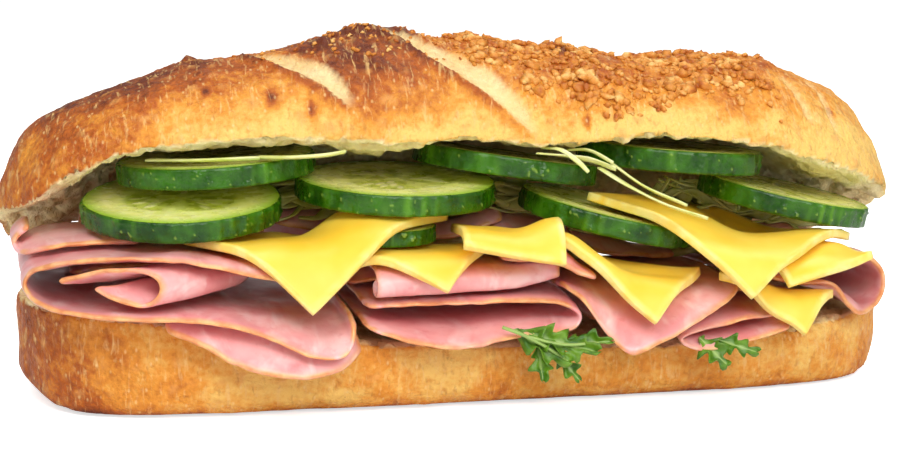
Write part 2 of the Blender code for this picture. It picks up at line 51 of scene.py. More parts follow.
def node_mesh(name):
    """A CAD node's surface with its split corners welded and its triangles paired into quads."""
    bm = bmesh.new()
    bm.from_mesh(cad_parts[name].data)
    bm.transform(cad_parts[name].matrix_world)
    bmesh.ops.remove_doubles(bm, verts=bm.verts, dist=2e-6)
    bmesh.ops.join_triangles(bm, faces=bm.faces, cmp_seam=False, cmp_sharp=False, cmp_uvs=False,
                             cmp_vcols=False, cmp_materials=False, angle_face_threshold=math.radians(35.0),
                             angle_shape_threshold=math.radians(50.0))
    bmesh.ops.recalc_face_normals(bm, faces=bm.faces)
    bm.normal_update()
    return bm


def new_object(name, mesh, mat, node=None):
    """A smooth piece on the root body, which may stand for a CAD node and take a material slot."""
    mesh.name = name
    mesh.materials.clear()
    mesh.materials.append(mat)
    mesh.shade_smooth()
    obj = bpy.data.objects.new(name, mesh)
    bpy.context.scene.collection.objects.link(obj)
    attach(obj, "root")
    if node:
        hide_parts(node)
    return obj


def coords(mesh):
    """The mesh's points in millimetres."""
    co = np.empty(len(mesh.vertices) * 3)
    mesh.vertices.foreach_get("co", co)
    return co.reshape(-1, 3) / MM


def normals(mesh):
    no = np.empty(len(mesh.vertices) * 3)
    mesh.vertex_normals.foreach_get("vector", no)
    return no.reshape(-1, 3)


def set_coords(mesh, co):
    mesh.vertices.foreach_set("co", (co * MM).ravel())
    mesh.update()


def paint(mesh, name, values):
    """Stores one number a vertex as a named attribute for the materials."""
    layer = mesh.attributes.new(name, "FLOAT", "POINT")
    layer.data.foreach_set("value", np.asarray(values, dtype=np.float32))


def evaluated(obj):
    """The object's mesh with its modifiers applied."""
    graph = bpy.context.evaluated_depsgraph_get()
    graph.update()
    mesh = bpy.data.meshes.new_from_object(obj.evaluated_get(graph))
    bpy.data.objects.remove(obj, do_unlink=True)
    return mesh


def refined(bm, levels, crease=None):
    """A smooth subdivided mesh of bm. crease keeps the slice's rim edges crisp."""
    if crease:
        layer = bm.edges.layers.float.get("crease_edge") or bm.edges.layers.float.new("crease_edge")
        for edge in bm.edges:
            if len(edge.link_faces) == 2 and edge.calc_face_angle(0.0) > math.radians(50.0):
                edge[layer] = crease
    mesh = bpy.data.meshes.new("work")
    bm.to_mesh(mesh)
    obj = bpy.data.objects.new("work", mesh)
    bpy.context.scene.collection.objects.link(obj)
    sub = obj.modifiers.new("Smooth", "SUBSURF")
    sub.levels = sub.render_levels = levels
    return evaluated(obj)


def fractal(points, scale, octaves, seed):
    """Smooth noise at points (mm), about -1 to 1, with features about scale across."""
    out = np.empty(len(points))
    pace = 1.0 / scale
    for i, (x, y, z) in enumerate(points):
        place = (x * pace + seed, y * pace - seed, z * pace + 0.7 * seed)
        out[i] = noise.fractal(place, 1.0, 2.0, octaves, noise_basis="PERLIN_ORIGINAL")
    return out


def smoothstep(low, high, t):
    """Eases from 0 at low to 1 at high; low may be the larger of the two."""
    t = np.clip((np.asarray(t, float) - low) / (high - low), 0.0, 1.0)
    return t * t * (3.0 - 2.0 * t)


# ---------------------------------------------------------------- material helpers

class Nodes:
    """Shorthand for building a node material."""

    def __init__(self, name, roughness=0.5, specular=0.5):
        self.mat = bpy.data.materials.new(name)
        self.mat.use_nodes = True
        self.tree = self.mat.node_tree
        self.shader = self.tree.nodes["Principled BSDF"]
        self.shader.inputs["Roughness"].default_value = roughness
        self.shader.inputs["Specular IOR Level"].default_value = specular
        self.where = self.new("ShaderNodeTexCoord").outputs["Object"]

    def new(self, kind, **settings):
        node = self.tree.nodes.new(kind)
        for key, value in settings.items():
            setattr(node, key, value)
        return node

    def link(self, source, target):
        self.tree.links.new(source, target)

    def attribute(self, name):
        return self.new("ShaderNodeAttribute", attribute_name=name).outputs["Fac"]

    def mapped(self, scale):
        node = self.new("ShaderNodeMapping")
        node.inputs["Scale"].default_value = scale
        self.link(self.where, node.inputs["Vector"])
        return node.outputs["Vector"]

    def noise(self, scale, detail=3.0, stretch=None, rough=0.55, distortion=0.0):
        """Noise, with scale in features a metre."""
        node = self.new("ShaderNodeTexNoise")
        node.inputs["Scale"].default_value = scale
        node.inputs["Detail"].default_value = detail
        node.inputs["Roughness"].default_value = rough
        node.inputs["Distortion"].default_value = distortion
        self.link(self.mapped(stretch) if stretch else self.where, node.inputs["Vector"])
        return node.outputs["Fac"]

    def cells(self, scale, stretch=None):
        """Distance to the nearest of scattered points, with scale in points a metre."""
        node = self.new("ShaderNodeTexVoronoi")
        node.inputs["Scale"].default_value = scale
        self.link(self.mapped(stretch) if stretch else self.where, node.inputs["Vector"])
        return node.outputs["Distance"]

    def ramp(self, value, low, high, out_low=0.0, out_high=1.0):
        """A straight ramp from out_low at low to out_high at high, held level beyond them."""
        node = self.new("ShaderNodeMapRange", clamp=True)
        node.inputs["From Min"].default_value = low
        node.inputs["From Max"].default_value = high
        node.inputs["To Min"].default_value = out_low
        node.inputs["To Max"].default_value = out_high
        self.link(value, node.inputs["Value"])
        return node.outputs["Result"]

    def math(self, operation, a, b):
        node = self.new("ShaderNodeMath", operation=operation)
        for socket, value in zip(node.inputs, (a, b)):
            if isinstance(value, (int, float)):
                socket.default_value = value
            else:
                self.link(value, socket)
        return node.outputs["Value"]

    def mix(self, share, a, b):
        """Colour a to colour b by share; either may be a socket or an sRGB triple of 0 to 255."""
        node = self.new("ShaderNodeMix", data_type="RGBA")
        sockets = (node.inputs[0], node.inputs[6], node.inputs[7])
        for socket, value in zip(sockets, (share, a, b)):
            if isinstance(value, (int, float)):
                socket.default_value = value
            elif isinstance(value, tuple):
                socket.default_value = linear(value)
            else:
                self.link(value, socket)
        return node.outputs[2]

    def bump(self, height, distance, strength):
        node = self.new("ShaderNodeBump")
        node.inputs["Distance"].default_value = distance
        node.inputs["Strength"].default_value = strength
        self.link(height, node.inputs["Height"])
        return node.outputs["Normal"]

    def finish(self, colour, normal=None, rough=None, flesh=None, coat=0.0):
        """The material; flesh is the weight, scale and radius of the light that soaks in."""
        self.link(colour, self.shader.inputs["Base Color"])
        if normal is not None:
            self.link(normal, self.shader.inputs["Normal"])
        if rough is not None:
            self.link(rough, self.shader.inputs["Roughness"])
        if flesh:
            self.shader.inputs["Subsurface Weight"].default_value = flesh[0]
            self.shader.inputs["Subsurface Scale"].default_value = flesh[1]
            self.shader.inputs["Subsurface Radius"].default_value = flesh[2]
        self.shader.inputs["Coat Weight"].default_value = coat
        self.shader.inputs["Coat Roughness"].default_value = 0.25
        return self.mat


def linear(rgb):
    """sRGB of 0 to 255 as a linear colour."""
    out = []
    for c in rgb:
        c /= 255.0
        out.append(c / 12.92 if c <= 0.04045 else ((c + 0.055) / 1.055) ** 2.4)
    return (*out, 1.0)


# ---------------------------------------------------------------- ham

def ham_material():
    n = Nodes("Ham", 0.42, 0.5)
    soft = n.noise(90.0, 4.0)
    fine = n.noise(420.0, 3.0)
    grain = n.noise(150.0, 3.0, stretch=(1.0, 0.35, 1.0), distortion=0.6)
    pink = n.mix(n.ramp(soft, 0.38, 0.66), (232, 150, 150), (247, 188, 185))
    pink = n.mix(n.ramp(grain, 0.50, 0.70, 0.0, 0.7), pink, (253, 222, 217))
    pink = n.mix(n.ramp(fine, 0.60, 0.74, 0.0, 0.35), pink, (216, 116, 116))
    rind = n.mix(n.ramp(n.noise(300.0, 3.0), 0.4, 0.65), (220, 142, 84), (240, 182, 118))
    share = n.math("MULTIPLY", n.attribute("rim"), n.ramp(n.noise(70.0, 2.0), 0.3, 0.5, 0.35, 1.0))
    colour = n.mix(share, pink, rind)
    faint = n.bump(n.noise(260.0, 3.0), 0.0005, 0.35)
    return n.finish(colour, faint, n.ramp(n.noise(120.0, 3.0), 0.35, 0.7, 0.30, 0.55),
                    flesh=(0.2, 0.002, (1.0, 0.35, 0.25)), coat=0.3)


def rim_closeness(points, bm, thick, reach):
    """How close each point is to the thin cut edge that runs round a slice, from 0 to 1."""
    marks = []
    for face in bm.faces:
        sides = sorted(edge.calc_length() / MM for edge in face.edges)
        if sides[0] > 1.3 * thick or len(face.edges) != 4:
            continue
        bent = [edge for edge in face.edges if len(edge.link_faces) == 2
                and edge.calc_face_angle(0.0) > math.radians(48.0)]
        if len(bent) < 2:
            continue
        a, b = bent[0], bent[1]
        for t in (0.1, 0.3, 0.5, 0.7, 0.9):
            one = a.verts[0].co.lerp(a.verts[1].co, t)
            other = b.verts[0].co.lerp(b.verts[1].co, 1.0 - t)
            if (one - other).length > (one - b.verts[0].co.lerp(b.verts[1].co, t)).length:
                other = b.verts[0].co.lerp(b.verts[1].co, t)
            marks.append((one + other) / 2.0 / MM)
    tree = KDTree(len(marks))
    for i, mark in enumerate(marks):
        tree.insert(mark, i)
    tree.balance()
    away = np.array([tree.find(p)[2] for p in points])
    return np.clip(1.0 - (away - 0.55 * thick) / reach, 0.0, 1.0)


def make_ham(name, mat):
    """A ham slice that is gently rippled all over, with a rim that rises and dips."""
    bm = node_mesh(name)
    mesh = refined(bm, 2)
    co, no = coords(mesh), normals(mesh)
    rim = rim_closeness(co, bm, HAM_THICK, 0.7)
    edge = rim_closeness(co, bm, HAM_THICK, 5.0)
    seed = sum(map(ord, name)) % 50
    wave = 0.22 * fractal(co, 9.0, 3, seed) + 0.10 * fractal(co, 3.0, 2, seed + 5)
    co += no * (wave * (1.0 - 0.5 * edge))[:, None]
    co[:, 2] += 0.30 * edge * fractal(co, 5.0, 2, seed + 9)
    set_coords(mesh, co)
    paint(mesh, "rim", rim)
    bm.free()
    return new_object(name + "_slice", mesh, mat, name)


# ---------------------------------------------------------------- cheese

def cheese_material():
    n = Nodes("Cheese", 0.36, 0.45)
    soft = n.noise(60.0, 3.0)
    body = n.mix(n.ramp(soft, 0.35, 0.65), (250, 200, 54), (252, 214, 84))
    edge = n.mix(n.ramp(n.noise(250.0, 2.0), 0.4, 0.6), (252, 218, 104), (254, 230, 138))
    colour = n.mix(n.attribute("rim"), body, edge)
    faint = n.bump(n.noise(180.0, 2.0), 0.0004, 0.2)
    return n.finish(colour, faint, n.ramp(n.noise(90.0, 3.0), 0.35, 0.7, 0.30, 0.46),
                    flesh=(0.2, 0.002, (1.0, 0.7, 0.3)))


def make_cheese(name, mat):
    """A cheese slice with crisp edges and nearly flat faces."""
    bm = node_mesh(name)
    mesh = refined(bm, 2, crease=0.75)
    co, no = coords(mesh), normals(mesh)
    rim = rim_closeness(co, bm, CHEESE_THICK, 0.5)
    co += no * (0.10 * fractal(co, 14.0, 2, len(name)))[:, None]
    set_coords(mesh, co)
    paint(mesh, "rim", rim)
    bm.free()
    return new_object(name + "_slice", mesh, mat, name)


# ---------------------------------------------------------------- cucumber

# How far each slice's seed pattern is turned about its own axis, in radians.
CUCUMBER_TURNS = {"cucumber_left": 0.3, "cucumber_middle": 1.1, "cucumber_right": 2.0,
                  "cucumber_right_end": 0.8, "cucumber_small_middle": 1.6, "cucumber_top_left": 0.5,
                  "cucumber_top_middle": 1.9, "cucumber_top_right": 1.2}


def cucumber_material():
    n = Nodes("Cucumber", 0.3, 0.35)
    radius = n.attribute("radius")
    skin = n.attribute("skin")
    seeds = n.attribute("seeds")
    core = n.attribute("core")
    flesh = n.mix(n.ramp(n.noise(500.0, 3.0), 0.35, 0.65), (236, 238, 128), (248, 248, 168))
    flesh = n.mix(n.ramp(radius, 0.78, 0.965), flesh, (160, 196, 60))
    jelly = n.mix(n.ramp(n.noise(400.0, 3.0), 0.4, 0.6), (164, 174, 44), (196, 204, 76))
    flesh = n.mix(n.math("MULTIPLY", core, 0.85), flesh, jelly)
    flesh = n.mix(n.math("MULTIPLY", seeds, 0.8), flesh, (232, 228, 166))
    green = n.mix(n.ramp(n.noise(160.0, 4.0), 0.35, 0.65), (18, 62, 2), (56, 110, 6))
    crest = n.ramp(n.attribute("ridge"), 0.4, 0.95, 0.0, 0.65)
    streaks = n.math("MULTIPLY", crest, n.ramp(n.noise(120.0, 2.0), 0.4, 0.6))
    green = n.mix(streaks, green, (96, 150, 26))
    green = n.mix(n.ramp(n.attribute("wart"), 0.5, 0.85, 0.0, 0.7), green, (140, 170, 66))
    colour = n.mix(skin, flesh, green)
    tiny = n.bump(n.math("MULTIPLY", n.noise(420.0, 4.0), n.ramp(skin, 0.0, 1.0, 0.3, 1.0)), 0.0009, 0.6)
    return n.finish(colour, tiny, n.ramp(n.noise(200.0, 3.0), 0.35, 0.7, 0.18, 0.4),
                    flesh=(0.12, 0.0015, (0.8, 1.0, 0.3)), coat=0.05)


def disc_of(name):
    """Centre, axes, radius and thickness (mm) of a cucumber node's plain disc."""
    points = coords(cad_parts[name].data)
    points = np.unique(np.round(points, 3), axis=0)
    middle = points.mean(axis=0)
    _, vectors = np.linalg.eigh(np.cov((points - middle).T))
    up = vectors[:, 0] * (1.0 if vectors[2, 0] > 0 else -1.0)
    side = np.cross(up, (0.0, 1.0, 0.0))
    side /= np.linalg.norm(side)
    other = np.cross(up, side)
    off = points - middle
    radius = np.linalg.norm(off - np.outer(off @ up, up), axis=1).max()
    return middle, side, other, up, radius, 2.0 * np.abs(off @ up).max()


def seed_pattern(x, y, turn):
    """Seed pulp and seeds over a slice's face, at places given as shares of its radius."""
    r = np.hypot(x, y)
    a = np.arctan2(y, x) - turn
    lobe = 0.5 + 0.5 * np.cos(3.0 * a)
    outer = 0.50 + 0.08 * lobe
    core = smoothstep(outer + 0.07, outer - 0.04, r) * (0.55 + 0.45 * smoothstep(0.0, 0.35, lobe))
    core *= smoothstep(0.02, 0.16, r) * 0.7 + 0.3
    seeds = np.zeros_like(r)
    for k in range(3):
        for row, (dist, spread) in enumerate(((0.44, 0.42), (0.33, 0.34), (0.22, 0.0))):
            for side in ((-1, 0, 1) if row == 0 else (-1, 1)):
                if row == 2 and side == 1:
                    continue
                at = turn + 2.0 * math.pi * k / 3.0 + side * spread * (0.6 if row else 0.9)
                jitter = 0.02 * math.sin(7.0 * k + 3.0 * side + 5.0 * row + 10.0 * turn)
                cx, cy = (dist + jitter) * math.cos(at), (dist + jitter) * math.sin(at)
                along = (x - cx) * math.cos(at) + (y - cy) * math.sin(at)
                across = -(x - cx) * math.sin(at) + (y - cy) * math.cos(at)
                seeds = np.maximum(seeds, smoothstep(1.25, 0.75, np.hypot(along / 0.085, across / 0.034)))
    return core, seeds


def make_cucumber(name, mat, turn):
    """A slice with ridged and warted skin, and seeds in its faces."""
    middle, side, other, up, radius, thick = disc_of(name)
    around = 240
    radial = 46
    tall = 8
    angle = np.arange(around) * 2.0 * math.pi / around
    ring = [(min(r, 0.985), thick / 2) for r in np.linspace(0.0, 1.0, radial) ** 0.85][1:]
    wall = [(1.0, thick / 2 * t) for t in np.linspace(0.90, -0.90, tall)]
    under = [(r, -thick / 2) for r, _ in ring[::-1]]
    path = ring + wall + under
    rows = len(path)
    share = np.array([p[0] for p in path])[:, None] * np.ones(around)
    height = np.array([p[1] for p in path])[:, None] * np.ones(around)
    a = np.ones(rows)[:, None] * angle
    ridge = 0.5 + 0.5 * np.cos(31.0 * a + 2.6 * np.sin(3.0 * a + turn) + 1.2 * np.sin(7.0 * a))
    ridge *= 0.55 + 0.45 * np.sin(5.0 * a + 3.0 * turn) * np.cos(2.0 * a)
    on_wall = np.zeros((rows, around))
    on_wall[len(ring) - 1:len(ring) + tall + 1] = 1.0
    wart = np.zeros((rows, around))
    for _ in range(int(radius * 2.2)):
        at = rng.uniform(0, 2 * math.pi)
        high = rng.uniform(-0.42, 0.42) * thick
        size = rng.uniform(0.45, 0.85)
        arc = radius * (np.mod(a - at + math.pi, 2 * math.pi) - math.pi)
        wart = np.maximum(wart, np.exp(-(arc ** 2 + (height - high) ** 2) / (2 * (0.55 * size) ** 2)))
    wart *= on_wall
    shape = 1.0 + 0.010 * np.sin(2 * a + turn) + 0.006 * np.sin(5 * a + 2 * turn)
    reach = radius * share * shape * 0.975 + on_wall * (0.38 * ridge + 0.50 * wart)
    core, seeds = seed_pattern(share * np.cos(a), share * np.sin(a), turn)
    flat = 1.0 - on_wall
    lift = 0.16 * smoothstep(0.90, 0.60, share) * -1.0 + 0.10 * seeds - 0.12 * core
    height = height + np.sign(height) * lift * flat
    places = (middle + reach[..., None] * (np.cos(a)[..., None] * side + np.sin(a)[..., None] * other)
              + height[..., None] * up)
    hub = up * (thick / 2 - 0.2)
    points = np.vstack([places.reshape(-1, 3), middle + hub, middle - hub])
    faces = []
    for r in range(rows - 1):
        for c in range(around):
            d = (c + 1) % around
            faces.append((r * around + c, r * around + d, (r + 1) * around + d, (r + 1) * around + c))
    top, bottom = rows * around, rows * around + 1
    faces += [(top, (c + 1) % around, c) for c in range(around)]
    last = (rows - 1) * around
    faces += [(bottom, last + c, last + (c + 1) % around) for c in range(around)]
    mesh = bpy.data.meshes.new(name)
    mesh.from_pydata([tuple(p) for p in points * MM], [], faces)
    bm = bmesh.new()
    bm.from_mesh(mesh)
    bmesh.ops.recalc_face_normals(bm, faces=bm.faces)
    bm.to_mesh(mesh)
    bm.free()
    hubs = (0.0, 0.0)
    for label, values in (("radius", share), ("skin", on_wall), ("core", core), ("seeds", seeds),
                          ("ridge", ridge), ("wart", wart)):
        paint(mesh, label, np.append(values.ravel(), hubs))
    return new_object(name + "_slice", mesh, mat, name)


# ---------------------------------------------------------------- bread

# All of these are millimetres, and places are (x, y) seen from above.
# Pale cuts scored across the crown, and narrow cracks near its right end: start, end and half width.
SCORES = [((-51.0, 1.0), (-29.0, -20.0), 2.7), ((-20.0, 3.5), (12.0, -23.2), 3.1)]
CRACKS = [((76.0, -6.0), (79.5, -16.0), 1.0), ((84.0, 0.0), (87.0, -14.0), 0.9)]
# Dark spots on the crown: x, y and reach.
SCORCHES = [(-46.7, -18.9, 1.3), (-38.4, -21.0, 1.0), (-61.0, -16.0, 0.8), (24.0, -22.0, 0.9),
            (87.0, -10.0, 0.9)]
# Ridges pulled up along the top beside the cuts: place, height and reach.
EARS = [((-24.0, 4.0), 2.6, 5.0), ((-32.0, 0.0), 1.4, 5.0), ((-13.5, 3.0), 2.0, 4.5),
        ((2.0, 6.0), 1.3, 5.0), ((25.0, 5.0), 1.5, 6.0), ((60.0, 5.0), 1.3, 7.0),
        ((72.0, 4.0), 1.5, 6.0), ((-64.0, 4.0), 1.2, 6.0)]
# The ways the two cut faces look.
CROWN_CUT = (0.0, -0.375, -0.927)
HEEL_CUT = UP
# Spacing of the two halves' points.
CROWN_VOXEL = 0.95
HEEL_VOXEL = 1.0


def crust_material():
    n = Nodes("Bread", 0.6, 0.35)
    crumb = n.attribute("crumb")
    # How dark the crust is: its real browning, plus painted shade in the gaps between the crown's flakes.
    crust_darkness = n.attribute("crust_darkness")
    raw = n.attribute("raw")
    blister = n.attribute("blister")
    broad = n.noise(28.0, 4.0)
    mid = n.noise(110.0, 4.0)
    fine = n.noise(650.0, 3.0)
    darkening = n.math("ADD", crust_darkness, n.ramp(broad, 0.3, 0.7, -0.16, 0.16))
    darkening = n.math("ADD", darkening, n.ramp(mid, 0.3, 0.7, -0.16, 0.16))
    darkening = n.math("ADD", darkening, n.ramp(fine, 0.3, 0.7, -0.13, 0.13))
    crust = n.mix(n.ramp(darkening, 0.05, 0.38), (242, 196, 104), (226, 148, 48))
    crust = n.mix(n.ramp(darkening, 0.40, 0.70), crust, (180, 90, 16))
    crust = n.mix(n.ramp(darkening, 0.70, 1.05), crust, (104, 40, 6))
    streak = n.noise(1000.0, 3.0, stretch=(1.0, 0.22, 0.22), distortion=0.5)
    crust = n.mix(n.ramp(streak, 0.56, 0.70, 0.0, 0.6), crust, (240, 196, 124))
    dark = n.noise(750.0, 4.0, stretch=(1.0, 0.5, 0.5), distortion=0.3)
    crust = n.mix(n.ramp(dark, 0.56, 0.74, 0.0, 0.45), crust, (168, 88, 22))
    fleck = n.cells(520.0, stretch=(1.0, 0.6, 0.6))
    crust = n.mix(n.ramp(fleck, 0.06, 0.20, 0.5, 0.0), crust, (246, 214, 150))
    crust = n.mix(n.math("MULTIPLY", blister, 0.5), crust, (226, 160, 84))
    pale = n.mix(n.ramp(mid, 0.35, 0.65), (236, 204, 138), (246, 222, 166))
    crust = n.mix(n.math("MULTIPLY", raw, n.ramp(fine, 0.25, 0.7, 1.0, 0.7)), crust, pale)
    inside = n.mix(n.ramp(n.noise(220.0, 4.0), 0.35, 0.65), (238, 214, 150), (252, 236, 186))
    # Darker brown spots over the crumb: painted shade in its pores.
    inside = n.mix(n.ramp(n.cells(240.0), 0.10, 0.32, 0.45, 0.0), inside, (206, 160, 88))
    colour = n.mix(crumb, crust, inside)
    bumps = n.math("ADD", n.math("MULTIPLY", n.noise(380.0, 5.0), 1.0),
                   n.math("MULTIPLY", n.noise(1300.0, 3.0), 0.35))
    surface = n.bump(bumps, 0.0014, 0.9)
    return n.finish(colour, surface, n.ramp(n.math("ADD", n.noise(150.0, 3.0), crumb), 0.3, 0.9, 0.36, 0.8),
                    flesh=(0.1, 0.0015, (1.0, 0.6, 0.3)))


def along(points, start, end):
    """Share of the way from start to end and distance from that line, seen from above."""
    start = np.array(start)
    way = np.array(end) - start
    length = np.linalg.norm(way)
    off = points[:, :2] - start
    t = off @ way / length ** 2
    away = (off[:, 0] * way[1] - off[:, 1] * way[0]) / length
    return t, away


def crumb_share(name, co, cut):
    """1 on the face of a bread half that looks the way of its cut, and 0 on its crust."""
    bm = node_mesh(name)
    tree = BVHTree.FromBMesh(bm)
    cut = Vector(cut).normalized()
    facing = np.array([tree.find_nearest(Vector(p) * MM)[1].dot(cut) for p in co])
    bm.free()
    return smoothstep(0.52, 0.66, facing)


def bread_mesh(name, voxel):
    """A bread half as an even mesh whose points are about voxel (mm) apart."""
    bm = node_mesh(name)
    mesh = refined(bm, 2, crease=0.45)
    bm.free()
    obj = bpy.data.objects.new("work", mesh)
    bpy.context.scene.collection.objects.link(obj)
    remesh = obj.modifiers.new("Even", "REMESH")
    remesh.mode = "VOXEL"
    remesh.voxel_size = voxel * MM
    return evaluated(obj)


def lumps(co, crumb, seed):
    """Relief of a baked crust and of a torn crumb, in millimetres."""
    crust = 0.60 * fractal(co, 16.0, 3, seed) + 0.36 * fractal(co, 4.5, 3, seed + 3)
    crust += 0.12 * np.abs(fractal(co, 1.8, 2, seed + 8))
    pits = smoothstep(0.05, 0.5, fractal(co, 3.0, 2, seed + 17))
    tear = 1.2 * fractal(co, 5.0, 4, seed + 11) - 1.5 * pits
    return crust * (1.0 - crumb) + tear * crumb


def make_crown(mat):
    """The upper half: two scored cuts with raised lips, cracks, scorches and a rough flaky top."""
    mesh = bread_mesh("bread_upper", CROWN_VOXEL)
    co, no = coords(mesh), normals(mesh)
    crumb = crumb_share("bread_upper", co, CROWN_CUT)
    top = smoothstep(52.0, 70.0, co[:, 2])
    rise = lumps(co, crumb, 3.0)
    raw = np.zeros(len(co))
    lip = np.zeros(len(co))
    above = (1.0 - crumb) * smoothstep(0.15, 0.5, no[:, 2])
    for start, end, half in SCORES:
        t, away = along(co, start, end)
        away = away + 0.7 * fractal(co, 6.0, 2, start[0])
        width = half * (1.0 - 0.75 * np.clip(np.abs(2.0 * t - 1.0), 0.0, 1.0) ** 3)
        ends = smoothstep(-0.03, 0.06, t) * smoothstep(1.03, 0.92, t)
        inside = ends * smoothstep(1.15, 0.75, np.abs(away) / width) * above
        raw = np.maximum(raw, inside)
        rise -= 1.1 * inside * (1.0 - 0.6 * (away / width) ** 2)
        ridge = ends * np.exp(-((away - 1.35 * width) / 1.1) ** 2) * above
        rise += 1.1 * ridge
        lip = np.maximum(lip, ridge)
    for start, end, half in CRACKS:
        t, away = along(co, start, end)
        ends = smoothstep(-0.1, 0.1, t) * smoothstep(1.1, 0.9, t)
        inside = ends * smoothstep(1.5, 0.5, np.abs(away) / half) * above
        raw = np.maximum(raw, 0.7 * inside)
        rise -= 0.7 * inside
    for (x, y), high, reach in EARS:
        bump = np.exp(-((co[:, 0] - x) / reach) ** 2 - ((co[:, 1] - y) / (1.6 * reach)) ** 2)
        rise += above * bump * (0.45 * high + 0.55 * high * np.abs(fractal(co, 3.4, 2, x)) * 2.0)
        lip = np.maximum(lip, 0.7 * above * bump)
    left = smoothstep(-46.0, -98.0, co[:, 0])
    over = -CROWN_CUT[2] * co[:, 2] - CROWN_CUT[1] * co[:, 1]
    high = smoothstep(52.0, 68.0, over)
    rough = np.exp(-((co[:, 0] + 24.0) / 16.0) ** 2) * top
    crust_darkness = 0.24 + 0.42 * left + 0.36 * high * smoothstep(14.0, -30.0, co[:, 0]) + 0.14 * high
    pale_foot = smoothstep(55.0, 47.0, over) * smoothstep(-95.0, -60.0, co[:, 0])
    crust_darkness += 0.34 * lip + 0.16 * rough - 0.20 * pale_foot
    crust_darkness += 0.10 * smoothstep(86.0, 104.0, co[:, 0])
    for x, y, size in SCORCHES:
        crust_darkness += 0.7 * above * np.exp(-((co[:, 0] - x) ** 2 + 0.5 * (co[:, 1] - y) ** 2) / size ** 2)
    # The crust under the patch of flakes is darkened: painted shade in the gaps between the flakes.
    flake_gap_shade = np.exp(-((co[:, 0] - 36.0) / 34.0) ** 4) * smoothstep(-24.0, -17.0, co[:, 1])
    crust_darkness += 0.22 * flake_gap_shade * top * (1.0 - raw)
    rise += 0.35 * rough * np.abs(fractal(co, 1.6, 2, 31.0)) * 2.0
    blister = smoothstep(0.35, 0.6, fractal(co, 3.0, 1, 41.0)) * (1.0 - crumb)
    co += no * (rise + 0.25 * blister)[:, None]
    set_coords(mesh, co)
    paint(mesh, "crumb", crumb)
    paint(mesh, "crust_darkness", crust_darkness)
    paint(mesh, "raw", raw)
    paint(mesh, "blister", blister)
    return new_object("crown", mesh, mat, "bread_upper")


def make_heel(mat):
    """The lower half, which is darkest where it lay on the oven floor."""
    mesh = bread_mesh("bread_lower", HEEL_VOXEL)
    co, no = coords(mesh), normals(mesh)
    crumb = crumb_share("bread_lower", co, HEEL_CUT) * smoothstep(8.0, 9.0, co[:, 2])
    off_floor = smoothstep(0.0, 1.5, co[:, 2])
    rise = lumps(co, crumb, 23.0) * off_floor
    ends = smoothstep(80.0, 102.0, np.abs(co[:, 0]))
    crust_darkness = 0.26 + 0.34 * smoothstep(-58.0, -100.0, co[:, 0]) + 0.12 * ends
    crust_darkness += 0.42 * np.exp(-(co[:, 2] / 1.6) ** 2) - 0.08 * smoothstep(6.0, 13.0, co[:, 2])
    crust_darkness += 0.25 * smoothstep(1.0, 0.0, co[:, 2])
    blister = smoothstep(0.35, 0.6, fractal(co, 3.0, 1, 51.0)) * (1.0 - crumb)
    co += no * (0.8 * rise)[:, None]
    co[:, 2] = np.maximum(co[:, 2], 0.0)
    set_coords(mesh, co)
    paint(mesh, "crumb", crumb)
    paint(mesh, "crust_darkness", crust_darkness)
    paint(mesh, "raw", np.zeros(len(co)))
    paint(mesh, "blister", blister)
    return new_object("heel", mesh, mat, "bread_lower")


# ---------------------------------------------------------------- flakes on the crown

FLAKES_RIGHT = 900
FLAKES_LEFT = 150
# The lowest place on the crown that a flake lies on, in metres.
FLAKES_FROM = 0.045


def flake_material():
    n = Nodes("Flakes", 0.5, 0.4)
    tone = n.noise(260.0, 3.0)
    colour = n.mix(n.ramp(tone, 0.35, 0.5), (176, 92, 22), (214, 138, 50))
    colour = n.mix(n.ramp(tone, 0.52, 0.66), colour, (240, 190, 112))
    rough = n.bump(n.noise(900.0, 3.0), 0.0005, 0.5)
    return n.finish(colour, rough, flesh=(0.1, 0.001, (1.0, 0.6, 0.3)))


def chunk(centre, normal, size, thick):
    """Points and faces of one crunchy flake lying on a surface."""
    bm = bmesh.new()
    bmesh.ops.create_icosphere(bm, subdivisions=1, radius=1.0)
    turn = Vector(normal).to_track_quat("Z", "Y").to_matrix()
    turn = turn @ Matrix.Rotation(rng.uniform(0, 6.28), 3, "Z")
    turn = turn @ Matrix.Rotation(rng.uniform(-0.5, 0.5), 3, "X")
    seed = rng.uniform(0, 100)
    long = rng.uniform(0.7, 1.35)
    points = []
    for v in bm.verts:
        p = v.co
        swell = 1.0 + 0.8 * noise.noise((p.x * 1.7 + seed, p.y * 1.7, p.z * 1.7))
        p = Vector((p.x * size * long * swell, p.y * size * swell / long, p.z * thick * swell))
        points.append(Vector(centre) + turn @ p)
    faces = [[v.index for v in f.verts] for f in bm.faces]
    bm.free()
    return points, faces


def scatter(surface, places, name, mat):
    """One piece holding many flakes that lie on a surface at the given places seen from above."""
    bm = bmesh.new()
    bm.from_mesh(surface.data)
    tree = BVHTree.FromBMesh(bm)
    bm.free()
    points, faces = [], []
    for x, y, size, thick in places:
        hit, normal, _, _ = tree.ray_cast(Vector((x * MM, y * MM, 0.2)), Vector((0, 0, -1)))
        if hit is None or hit.z < FLAKES_FROM:
            continue
        more, shape = chunk(hit / MM + normal * thick * 0.35, normal, size, thick)
        start = len(points)
        points += more
        faces += [[i + start for i in f] for f in shape]
    mesh = bpy.data.meshes.new(name)
    mesh.from_pydata([p * MM for p in points], [], faces)
    return new_object(name, mesh, mat, None)


